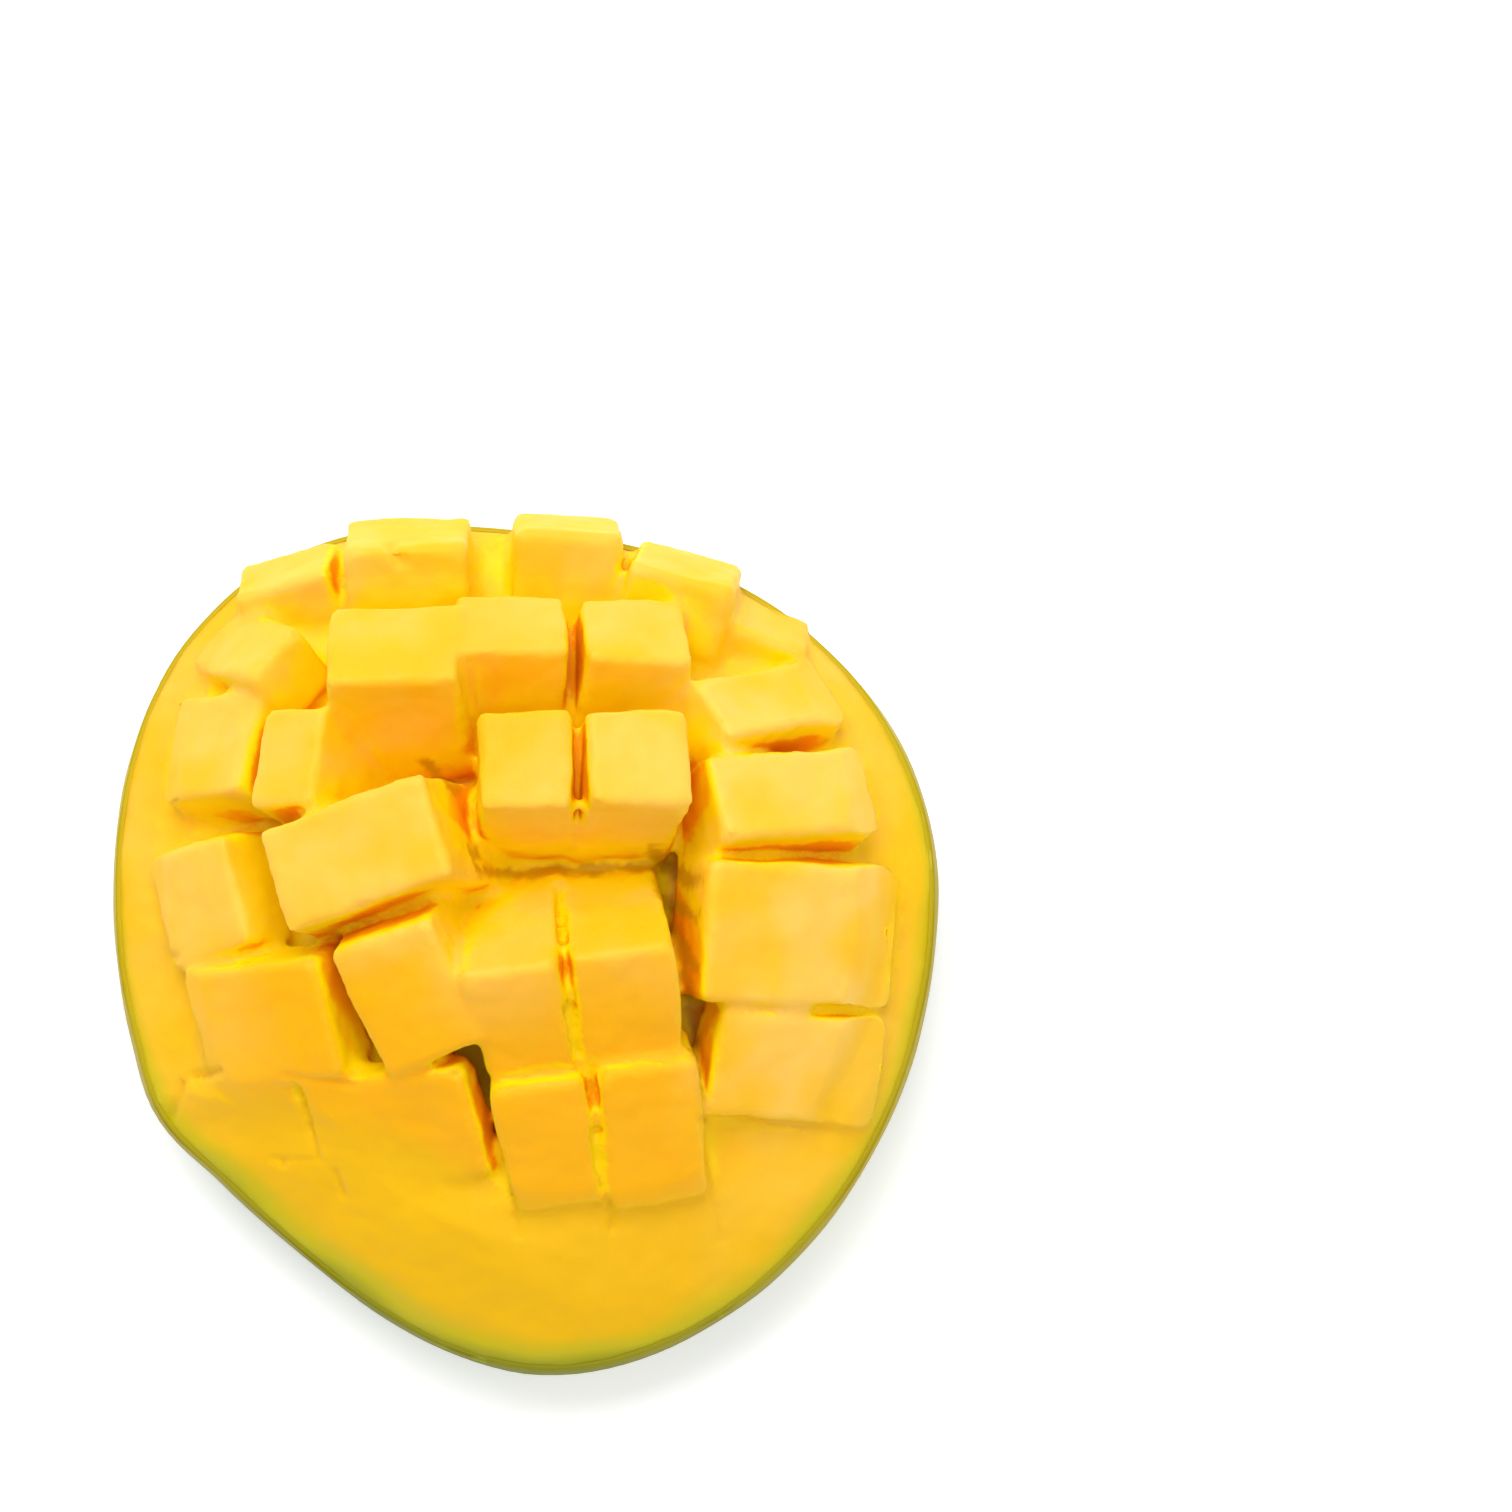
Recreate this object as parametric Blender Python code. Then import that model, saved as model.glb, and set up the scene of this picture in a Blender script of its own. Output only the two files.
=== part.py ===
"""Cubed mango half: the cheek of a mango, scored into cubes down to its peel and pushed up from behind.

Pushing the peel up turns the cheek into a low dome. The cubes stand on it and fan apart, the
widest gap runs across the middle, and the uncut flesh at the edge slopes down to the rim of peel.
One solid, in metres, +Z up: it lies on the turned-under edge of its peel with the cubes up.
X runs across the fruit and Y along it, from the narrow end (-Y) to the broad end (+Y).
"""

import math
from dataclasses import dataclass

import bmesh
import bpy
from mathutils import Euler, Matrix, Vector

MM = 0.001

# Driving sizes of the whole half, in millimetres
HALF_WIDTH = 48.6
BROAD_END = 43.0
NARROW_END = 57.0
CUBE_TOP = 40.0
GAP_FLOOR = 20.0
RIM_AT_END = 9.0
RIM_AT_SIDE = 13.0
PEEL_WALL = 3.0

# The outline is a round egg with one full shoulder and one flat flank
APEX_Y = 2.0
SHOULDER_BULGE = 4.9
SHOULDER_AT = 131.0
SHOULDER_REACH = 50.0
FLANK_FLAT = 4.2
FLANK_AT = 240.0
FLANK_REACH = 40.0
LIP_STEP = 1.0
LIP_AT = 212.0
LIP_REACH = 12.0

# How fast the cube tops and the uncut flesh fall towards the rim
TOP_FALL = 2.05
TOP_FALL_CHANGE = 0.55
FLESH_FALL = 3.2
FLESH_EDGE = 0.975
UNCUT_SWELL = 4.8
UNCUT_AT = 252.0
UNCUT_REACH = 85.0
UNCUT_SHARE = 0.66
UNCUT_SPREAD = 0.34

# The peel swells a little below the rim, least under the broad end, and turns under to a flat ring
PEEL_SWELL = 0.035
PEEL_SWELL_START = 0.25
PEEL_TUCKED = 0.9
TUCKED_AT = 92.0
TUCKED_REACH = 85.0
PEEL_TURN = 0.7
PEEL_DROP = 1.15
RING_OUTER = 0.86

# The hollow left where the peel was pushed up
HOLLOW_RIM = 0.78
HOLLOW_FALL = 2.6
HOLLOW_BELOW = 2.0

# Facets
SEGMENTS = 72
RINGS = 32
FLESH_RINGS = 15
PEEL_RINGS = 23
HOLLOW_RINGS = 20
ROOF_RINGS = 10
SMOOTH_UNDER = 35.0

# Cubes: rounded corners, how far they sink into the uncut flesh, and their least depth
CORNER_ROUND = 0.7
CORNER_STEPS = 2
CUBE_SINK = 1.6
CUBE_LEAST = 3.0
UPRIGHT_LEAST = 0.6
SLOPE_STEP = 0.5


@dataclass(frozen=True)
class Cube:
    """One cube: the middle and sides of its top face, how it is turned, and how it leans off the dome."""

    x: float
    y: float
    wide: float
    long: float
    turn: float = 0.0
    lean_back: float = 0.0
    lean_side: float = 0.0
    lift: float = 0.0


# Rows run across the fruit, from the broad end to the narrow end, and each row from left to right
ROWS = {
    "back": (
        Cube(-28.3, 39.8, 12.0, 9.0, 24.0, 2.0, 0.0, 3.0),
        Cube(-13.6, 43.4, 14.4, 11.5, 5.0, 5.0, 0.0, 7.2),
        Cube(5.0, 45.0, 12.5, 11.0, -6.0, 8.0, 0.0, 8.5),
        Cube(19.0, 40.2, 12.5, 11.0, -34.0, 4.0, 2.0, 5.5),
        Cube(28.5, 33.5, 10.0, 8.0, -30.0, -4.0, -6.0, 0.5),
    ),
    "upper": (
        Cube(-32.5, 30.5, 13.0, 9.0, -18.0, 0.0, 0.0, 1.0),
        Cube(-14.5, 29.5, 15.5, 12.0, 2.0, -3.0, 6.0, 1.5),
        Cube(-1.0, 32.0, 12.6, 10.0, 0.0, -4.0, 0.0, 1.0),
        Cube(13.3, 31.5, 12.3, 10.5, -1.0, -6.0, -5.0, 1.5),
        Cube(28.8, 24.0, 17.5, 8.8, 14.0, 0.0, -8.0),
    ),
    "middle": (
        Cube(-36.5, 18.5, 12.5, 13.0, 2.0, 0.0, 6.0),
        Cube(-26.5, 16.5, 8.5, 12.0, 0.0, 0.0, 4.0),
        Cube(1.0, 15.5, 10.6, 11.8, 1.0),
        Cube(13.8, 16.0, 11.6, 11.8, 0.0, 0.0, -6.0, 1.0),
        Cube(31.5, 12.8, 20.5, 10.5, 6.0, 4.0, -10.0),
    ),
    "bar": (
        Cube(-37.5, 0.0, 12.5, 13.5, 14.0, 0.0, 6.0),
        Cube(-18.5, 5.0, 21.0, 12.5, 18.0, 4.0, 4.0, 0.5),
    ),
    "lower": (
        Cube(-29.8, -14.2, 18.5, 14.5, 4.0, 0.0, 4.0),
        Cube(-12.4, -11.4, 12.8, 16.0, 20.0, 2.0, 2.0, 0.6),
        Cube(0.3, -14.0, 10.9, 14.2, 10.0, -13.0),
        Cube(12.7, -12.2, 11.7, 14.6, 10.0, -12.0, -4.0),
        Cube(32.5, -3.8, 24.0, 16.2, -1.0, 2.0, -12.0),
    ),
    "front": (
        Cube(-31.2, -25.6, 15.0, 11.0, 6.0, 0.0, 3.0),
        Cube(-14.3, -26.2, 20.0, 14.5, 4.0, 0.0, 2.0),
        Cube(3.3, -28.2, 10.7, 16.6, 9.5, 1.0, 0.0, 0.6),
        Cube(15.4, -27.0, 11.6, 18.6, 9.5, 1.0, -4.0, 0.8),
        Cube(32.0, -19.0, 21.5, 12.8, -4.0, 4.0, -10.0),
    ),
}


def hump(angle: float, at: float, reach: float) -> float:
    """1 at one bearing, falling smoothly to 0 at its reach on both sides. All in degrees."""
    away = abs((angle - at + 180) % 360 - 180)
    return math.cos(math.pi / 2 * min(1.0, away / reach)) ** 2


def outline_radius(bearing: float) -> float:
    """Distance from the apex to the widest line of the fruit at a bearing in radians."""
    across, along = math.cos(bearing), math.sin(bearing)
    end = BROAD_END if along > 0 else NARROW_END
    egg = 1 / math.hypot(across / HALF_WIDTH, along / end)
    degrees = math.degrees(bearing)
    shoulder = SHOULDER_BULGE * hump(degrees, SHOULDER_AT, SHOULDER_REACH)
    flank = FLANK_FLAT * hump(degrees, FLANK_AT, FLANK_REACH)
    lip = LIP_STEP * hump(degrees, LIP_AT, LIP_REACH)
    return egg + shoulder - flank + lip


def rim_height(bearing: float) -> float:
    """Height of the edge between flesh and peel, which rises at the two sides."""
    return RIM_AT_END + (RIM_AT_SIDE - RIM_AT_END) * math.cos(bearing) ** 2


def polar(x: float, y: float) -> tuple[float, float]:
    """Share of the way from the apex to the outline, and the bearing."""
    bearing = math.atan2(y - APEX_Y, x)
    return math.hypot(x, y - APEX_Y) / outline_radius(bearing), bearing


def cube_top_height(x: float, y: float) -> float:
    """Height of the dome that the tops of the cubes follow."""
    share, bearing = polar(x, y)
    rim = rim_height(bearing)
    fall = TOP_FALL + TOP_FALL_CHANGE * math.sin(bearing)
    return rim + (CUBE_TOP - rim) * (1 - share**fall)


def dome_slope(x: float, y: float) -> tuple[float, float]:
    """Rise of the dome towards +X and towards +Y."""
    step = SLOPE_STEP
    rise_x = cube_top_height(x + step, y) - cube_top_height(x - step, y)
    rise_y = cube_top_height(x, y + step) - cube_top_height(x, y - step)
    return rise_x / (2 * step), rise_y / (2 * step)


def flesh_height(share: float, bearing: float) -> float:
    """Height of the uncut flesh: the floor of the gaps, and the slope down to the rim."""
    rim = rim_height(bearing)
    slope = rim + (GAP_FLOOR - rim) * math.sqrt(max(0.0, 1 - share**FLESH_FALL))
    away = min(1.0, abs(share - UNCUT_SHARE) / UNCUT_SPREAD)
    swell = math.cos(math.pi / 2 * away) ** 2 * hump(math.degrees(bearing), UNCUT_AT, UNCUT_REACH)
    return slope + UNCUT_SWELL * swell


def hollow_height(share: float) -> float:
    """Height of the hollow's roof above the table."""
    roof = GAP_FLOOR - PEEL_WALL
    return roof * (1 - (share / HOLLOW_RIM) ** HOLLOW_FALL)


def place(bearing: float, share: float, height: float) -> Vector:
    """A point from its bearing, its share of the outline and its height, in metres."""
    reach = share * outline_radius(bearing)
    return MM * Vector((reach * math.cos(bearing), APEX_Y + reach * math.sin(bearing), height))


def body_section(ring: int, bearing: float) -> tuple[float, float]:
    """The half section of the body without its hollow: share of the outline and height at a ring."""
    if ring <= FLESH_RINGS:
        share = FLESH_EDGE * math.sin(math.pi / 2 * ring / FLESH_RINGS)
        return share, flesh_height(share, bearing)
    if ring <= PEEL_RINGS:
        down = (ring - FLESH_RINGS) / (PEEL_RINGS - FLESH_RINGS)
        swell = PEEL_SWELL * math.sin(math.pi * (PEEL_SWELL_START + (1 - PEEL_SWELL_START) * down))
        swell *= 1 - PEEL_TUCKED * hump(math.degrees(bearing), TUCKED_AT, TUCKED_REACH)
        share = RING_OUTER + (FLESH_EDGE - RING_OUTER) * (1 - down) ** PEEL_TURN + swell
        return share, flesh_height(FLESH_EDGE, bearing) * (1 - down) ** PEEL_DROP
    inward = 1 - (ring - PEEL_RINGS) / (RINGS - PEEL_RINGS)
    return RING_OUTER * inward, 0.0


def hollow_section(ring: int, bearing: float) -> tuple[float, float]:
    """The half section of the hollow's cutter, the same at every bearing: its roof, then its underside."""
    if ring <= ROOF_RINGS:
        share = HOLLOW_RIM * math.sin(math.pi / 2 * ring / ROOF_RINGS)
        return share, hollow_height(share)
    below = (ring - ROOF_RINGS) / (HOLLOW_RINGS - ROOF_RINGS)
    return HOLLOW_RIM * math.sqrt(1 - below), -HOLLOW_BELOW * min(1.0, 3 * below)


def ring_mesh(name: str, rings: int, section) -> bpy.types.Object:
    """A closed body from a ball whose rings of points move to a section, all round the outline."""
    mesh = bpy.data.meshes.new(name)
    shape = bmesh.new()
    bmesh.ops.create_uvsphere(shape, u_segments=SEGMENTS, v_segments=rings, radius=1.0)
    for point in shape.verts:
        ring = round(rings * math.acos(max(-1.0, min(1.0, point.co.z))) / math.pi)
        bearing = math.atan2(point.co.y, point.co.x)
        share, height = section(ring, bearing)
        point.co = place(bearing, share, height)
    bmesh.ops.recalc_face_normals(shape, faces=shape.faces)
    shape.to_mesh(mesh)
    shape.free()
    return bpy.data.objects.new(name, mesh)


def make_cube(name: str, cube: Cube) -> bpy.types.Object:
    """One cube: a block with softened corners, square to its own top face, sunk into the flesh."""
    slope_x, slope_y = dome_slope(cube.x, cube.y)
    lean_x = math.atan(slope_y) - math.radians(cube.lean_back)
    lean_y = math.radians(cube.lean_side) - math.atan(slope_x)
    top = cube_top_height(cube.x, cube.y) + cube.lift
    floor = flesh_height(*polar(cube.x, cube.y))
    upright = math.cos(lean_x) * math.cos(lean_y)
    deep = max(CUBE_LEAST, (top - floor) / max(UPRIGHT_LEAST, upright)) + CUBE_SINK

    shape = bmesh.new()
    bmesh.ops.create_cube(shape, size=1.0)
    bmesh.ops.translate(shape, verts=shape.verts, vec=(0, 0, -0.5))
    bmesh.ops.scale(shape, verts=shape.verts, vec=MM * Vector((cube.wide, cube.long, deep)))
    outer = [edge for edge in shape.edges if max(point.co.z for point in edge.verts) >= 0]
    bmesh.ops.bevel(
        shape,
        geom=outer,
        offset=CORNER_ROUND * MM,
        segments=CORNER_STEPS,
        profile=0.5,
        affect="EDGES",
        material=-1,
    )
    leaning = Euler((lean_x, lean_y, 0.0)).to_matrix().to_4x4()
    turned = leaning @ Matrix.Rotation(math.radians(cube.turn), 4, "Z")
    bmesh.ops.transform(shape, verts=shape.verts, matrix=turned)
    bmesh.ops.translate(shape, verts=shape.verts, vec=MM * Vector((cube.x, cube.y, top)))
    mesh = bpy.data.meshes.new(name)
    shape.to_mesh(mesh)
    shape.free()
    return bpy.data.objects.new(name, mesh)


def join_or_cut(body: bpy.types.Object, others: bpy.types.Collection, operation: str) -> None:
    """One Boolean of the body with a whole collection, applied. The collection's objects then go."""
    modifier = body.modifiers.new(operation.lower(), "BOOLEAN")
    modifier.operation = operation
    modifier.operand_type = "COLLECTION"
    modifier.collection = others
    modifier.solver = "EXACT"
    bpy.context.view_layer.update()
    evaluated = body.evaluated_get(bpy.context.evaluated_depsgraph_get())
    made = bpy.data.meshes.new_from_object(evaluated)
    body.modifiers.clear()
    body.data = made
    for other in list(others.objects):
        bpy.data.objects.remove(other)
    bpy.data.collections.remove(others)


def flesh_material() -> bpy.types.Material:
    """Ripe mango flesh: warm yellow, moist."""
    material = bpy.data.materials.new("mango_flesh")
    material.use_nodes = True
    shader = material.node_tree.nodes["Principled BSDF"]
    shader.inputs["Base Color"].default_value = (0.95, 0.60, 0.05, 1.0)
    shader.inputs["Roughness"].default_value = 0.4
    shader.inputs["Metallic"].default_value = 0.0
    return material


def seat_on_origin(body: bpy.types.Object) -> None:
    """Moves the mesh so that the middle of its box's underside is the origin."""
    corners = [Vector(corner) for corner in body.bound_box]
    low = Vector(map(min, *corners))
    high = Vector(map(max, *corners))
    body.data.transform(Matrix.Translation((-(low.x + high.x) / 2, -(low.y + high.y) / 2, -low.z)))


def new_collection(name: str) -> bpy.types.Collection:
    """A new collection in the scene."""
    collection = bpy.data.collections.new(name)
    bpy.context.scene.collection.children.link(collection)
    return collection


def main() -> None:
    """Builds the mango half."""
    for old in list(bpy.data.objects):
        bpy.data.objects.remove(old)
    fruit = new_collection("cubed_mango_half")
    body = ring_mesh("mango_half", RINGS, body_section)
    fruit.objects.link(body)
    cubes = new_collection("cubes")
    for row, members in ROWS.items():
        for number, cube in enumerate(members):
            cubes.objects.link(make_cube(f"{row}_{number}", cube))
    join_or_cut(body, cubes, "UNION")
    cutters = new_collection("cutters")
    hollow = ring_mesh("hollow_cutter", HOLLOW_RINGS, hollow_section)
    hollow.hide_render = True
    hollow.display_type = "WIRE"
    cutters.objects.link(hollow)
    join_or_cut(body, cutters, "DIFFERENCE")
    seat_on_origin(body)
    body.data.materials.clear()
    body.data.materials.append(flesh_material())
    body.data.shade_smooth()
    body.data.set_sharp_from_angle(angle=math.radians(SMOOTH_UNDER))


main()
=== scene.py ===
"""The cubed mango half, dressed: moist flesh cut into cubes, its green peel, and a plain studio round it."""

from __future__ import annotations

import logging
import math
from dataclasses import dataclass, field
from enum import Enum

import bmesh
import bpy
from mathutils import Matrix, Vector, noise
from mathutils.bvhtree import BVHTree

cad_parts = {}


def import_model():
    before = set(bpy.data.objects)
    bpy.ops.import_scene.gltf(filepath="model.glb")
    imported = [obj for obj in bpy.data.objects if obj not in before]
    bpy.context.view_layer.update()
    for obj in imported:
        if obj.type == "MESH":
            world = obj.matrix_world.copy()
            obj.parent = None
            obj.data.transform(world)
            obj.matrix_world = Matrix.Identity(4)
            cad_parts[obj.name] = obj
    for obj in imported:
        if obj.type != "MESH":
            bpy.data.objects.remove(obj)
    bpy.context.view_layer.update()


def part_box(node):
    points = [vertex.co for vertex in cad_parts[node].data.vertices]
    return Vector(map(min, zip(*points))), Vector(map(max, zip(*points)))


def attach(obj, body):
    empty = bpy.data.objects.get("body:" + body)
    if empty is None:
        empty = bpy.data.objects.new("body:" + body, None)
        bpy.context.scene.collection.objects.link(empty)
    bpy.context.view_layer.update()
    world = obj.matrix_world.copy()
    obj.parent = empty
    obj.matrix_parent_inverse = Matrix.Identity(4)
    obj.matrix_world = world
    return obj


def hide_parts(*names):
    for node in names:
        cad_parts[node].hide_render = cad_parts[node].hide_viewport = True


MM = 0.001
NODE = "mango_half"
BULGE_ROUNDS = 12
Colour = tuple[float, float, float]

log = logging.getLogger("mango_half")


class Mark(Enum):
    """The attributes that the meshes carry for their finishes."""

    # painted shade: how enclosed each point is; the flesh's finish darkens enclosed places to orange and
    # red-brown (kept as the depth attribute)
    DEPTH = "depth"
    # painted light: paler colour along the cubes' convex edges, where light would shine through the thin
    # flesh (kept as the thin attribute)
    THIN = "thin"
    RIM = "rim"
    UNCUT = "uncut"
    DEEP_YELLOW = "ripe"
    RESIDUE = "residue"


def smooth_step(low: float, high: float, value: float) -> float:
    """0 at low, 1 at high, smooth between them."""
    t = max(0.0, min(1.0, (value - low) / (high - low)))
    return t * t * (3 - 2 * t)


def ease(shape: bmesh.types.BMesh, verts: object, rounds: int) -> None:
    """Draws points halfway towards their neighbours, a number of rounds over."""
    for _ in range(rounds):
        bmesh.ops.smooth_vert(
            shape, verts=verts, factor=0.5, use_axis_x=True, use_axis_y=True, use_axis_z=True
        )


@dataclass(frozen=True)
class Hump:
    """A smooth rise round one bearing: its height at the middle, and its bearing and reach in degrees."""

    height: float
    bearing: float
    reach: float

    def at(self, bearing: float) -> float:
        """The rise at a bearing in radians."""
        away = abs((math.degrees(bearing) - self.bearing + 180) % 360 - 180)
        return self.height * math.cos(math.pi / 2 * min(1.0, away / self.reach)) ** 2


@dataclass(frozen=True)
class Outline:
    """The half's plan and section, in millimetres and in shares of the way out from its apex.

    The sizes are those of the solid that it dresses, but for side_swell, which is the scene's own: it
    says how far above the solid's flank the cubes' outer ends start to fade at the two sides.
    """

    apex_y: float = 5.7
    half_width: float = 48.6
    broad_end: float = 43.0
    narrow_end: float = 57.0
    cube_top: float = 40.0
    top_fall: float = 2.05
    top_fall_change: float = 0.55
    gap_floor: float = 20.0
    rim_at_end: float = 9.0
    rim_at_side: float = 13.0
    shoulder: Hump = Hump(4.9, 131.0, 50.0)
    flank: Hump = Hump(-4.2, 240.0, 40.0)
    lip: Hump = Hump(1.0, 212.0, 12.0)
    flesh_fall: float = 3.2
    flesh_edge: float = 0.975
    uncut: Hump = Hump(4.8, 252.0, 85.0)
    uncut_share: float = 0.66
    uncut_spread: float = 0.34
    side_swell: float = 2.0
    side_share: float = 0.88
    side_spread: float = 0.12
    swell: float = 0.035
    swell_start: float = 0.25
    tucked: Hump = Hump(0.9, 92.0, 85.0)
    turn: float = 0.7
    drop: float = 1.15
    first_step: float = 0.125
    ring_outer: float = 0.86
    green_end: Hump = Hump(1.0, 262.0, 120.0)
    green_side: Hump = Hump(0.55, 345.0, 75.0)
    hollow_rim: float = 0.78
    hollow_top: float = 17.0
    hollow_fall: float = 2.6

    def radius(self, bearing: float) -> float:
        """Distance from the apex to the outline at a bearing in radians."""
        across, along = math.cos(bearing), math.sin(bearing)
        end = self.broad_end if along > 0 else self.narrow_end
        egg = 1 / math.hypot(across / self.half_width, along / end)
        return egg + self.shoulder.at(bearing) + self.flank.at(bearing) + self.lip.at(bearing)

    def polar(self, point: Vector) -> tuple[float, float]:
        """Share of the way from the apex to the outline, and the bearing, of a point in metres."""
        x, y = point.x / MM, point.y / MM - self.apex_y
        bearing = math.atan2(y, x)
        return math.hypot(x, y) / self.radius(bearing), bearing

    def place(self, bearing: float, share: float, height: float) -> Vector:
        """The point in metres at a bearing, a share of the outline and a height."""
        reach = share * self.radius(bearing)
        return MM * Vector((reach * math.cos(bearing), self.apex_y + reach * math.sin(bearing), height))

    def flesh_height(self, share: float, bearing: float) -> float:
        """Height of the uncut flesh at a share of the outline and a bearing."""
        rim = self.rim_at_end + (self.rim_at_side - self.rim_at_end) * math.cos(bearing) ** 2
        slope = rim + (self.gap_floor - rim) * math.sqrt(max(0.0, 1 - share**self.flesh_fall))
        slope += self.uncut.at(bearing) * self.band(share, self.uncut_share, self.uncut_spread)
        at_side = self.side_swell * math.cos(bearing) ** 2
        return slope + at_side * self.band(share, self.side_share, self.side_spread)

    @staticmethod
    def band(share: float, at: float, spread: float) -> float:
        """1 at one share of the way out, falling smoothly to 0 at its spread on both sides."""
        return math.cos(math.pi / 2 * min(1.0, abs(share - at) / spread)) ** 2

    def dome_height(self, share: float, bearing: float) -> float:
        """Height of the dome that the tops of the cubes follow."""
        rim = self.rim_at_end + (self.rim_at_side - self.rim_at_end) * math.cos(bearing) ** 2
        fall = self.top_fall + self.top_fall_change * math.sin(bearing)
        return rim + (self.cube_top - rim) * (1 - share**fall)

    def side(self, down: float, bearing: float) -> tuple[float, float]:
        """The peel's side, from its edge (down 0) to the ring that it rests on (down 1).

        Args:
            down: how far down the side, from 0 to 1.
            bearing: the bearing in radians.

        Returns:
            The share of the outline and the height.
        """
        rim = self.flesh_height(self.flesh_edge, bearing)
        if down < self.first_step:
            share, height = self.side(self.first_step, bearing)
            along = max(0.0, down) / self.first_step
            return self.flesh_edge + (share - self.flesh_edge) * along, rim + (height - rim) * along
        left = max(0.0, 1 - down)
        swell = self.swell * math.sin(math.pi * (1 - (1 - self.swell_start) * left))
        swell *= 1 - self.tucked.at(bearing)
        share = self.ring_outer + (self.flesh_edge - self.ring_outer) * left**self.turn + swell
        return share, rim * left**self.drop

    def down(self, height: float, bearing: float) -> float:
        """How far down the peel's side a height lies, from 0 to 1."""
        rim = self.flesh_height(self.flesh_edge, bearing)
        return 1 - max(0.0, min(1.0, height / rim)) ** (1 / self.drop)

    def hollow_height(self, share: float) -> float:
        """Height of the hollow's roof at a share of the outline."""
        return self.hollow_top * (1 - min(1.0, share / self.hollow_rim) ** self.hollow_fall)

    def greenness(self, bearing: float) -> float:
        """How green the rim is at a bearing: most at the narrow end, least at the broad one."""
        return max(self.green_end.at(bearing), self.green_side.at(bearing))

    def peel_edge(self, bearing: float) -> float:
        """How far down the side the peel's cut edge runs, which wavers a little."""
        waver = noise.noise(Vector((2.5 * math.cos(bearing), 2.5 * math.sin(bearing), 4.0)))
        return 0.13 + 0.03 * waver


@dataclass(frozen=True)
class Stroke:
    """A mark seen from above, from one point to another, in millimetres."""

    x0: float
    y0: float
    x1: float
    y1: float
    wide: float = 1.0
    deep: float = 0.0

    def distance(self, x: float, y: float) -> float:
        """Distance in millimetres from a point to the stroke, seen from above."""
        run_x, run_y = self.x1 - self.x0, self.y1 - self.y0
        length = run_x * run_x + run_y * run_y
        along = ((x - self.x0) * run_x + (y - self.y0) * run_y) / length if length else 0.0
        along = max(0.0, min(1.0, along))
        return math.hypot(x - self.x0 - along * run_x, y - self.y0 - along * run_y)


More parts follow.
